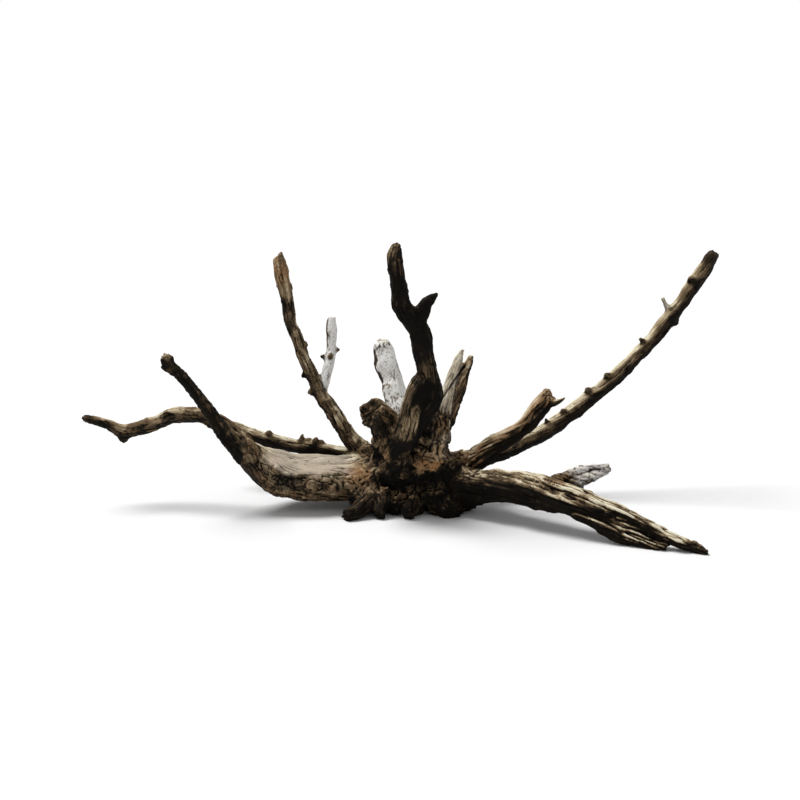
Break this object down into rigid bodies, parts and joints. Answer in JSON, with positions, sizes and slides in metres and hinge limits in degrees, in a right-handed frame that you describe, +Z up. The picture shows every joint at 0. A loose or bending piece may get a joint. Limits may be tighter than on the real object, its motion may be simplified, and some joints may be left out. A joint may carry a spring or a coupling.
{
  "type": "piece of driftwood",
  "caption": "Weathered driftwood root crown with a gnarled middle, spreading tapered limbs with broken ends and a split fibrous limb that comes down to the ground.",
  "frame": {"origin": "the middle of the footprint of the whole piece, on the surface that it lies on", "axes": "+X along the spread, from the thin left limbs to the long right limb; +Y away from the side that the picture shows; +Z up"},
  "size_m": [0.5191, 0.2146, 0.216],
  "materials": {
    "weathered_wood": "dry weathered wood, matt, with dark bark, cream bare grain and bleached stubs"
  },
  "bodies": {
    "root": {"driftwood": "weathered_wood"}
  },
  "joints": []
}
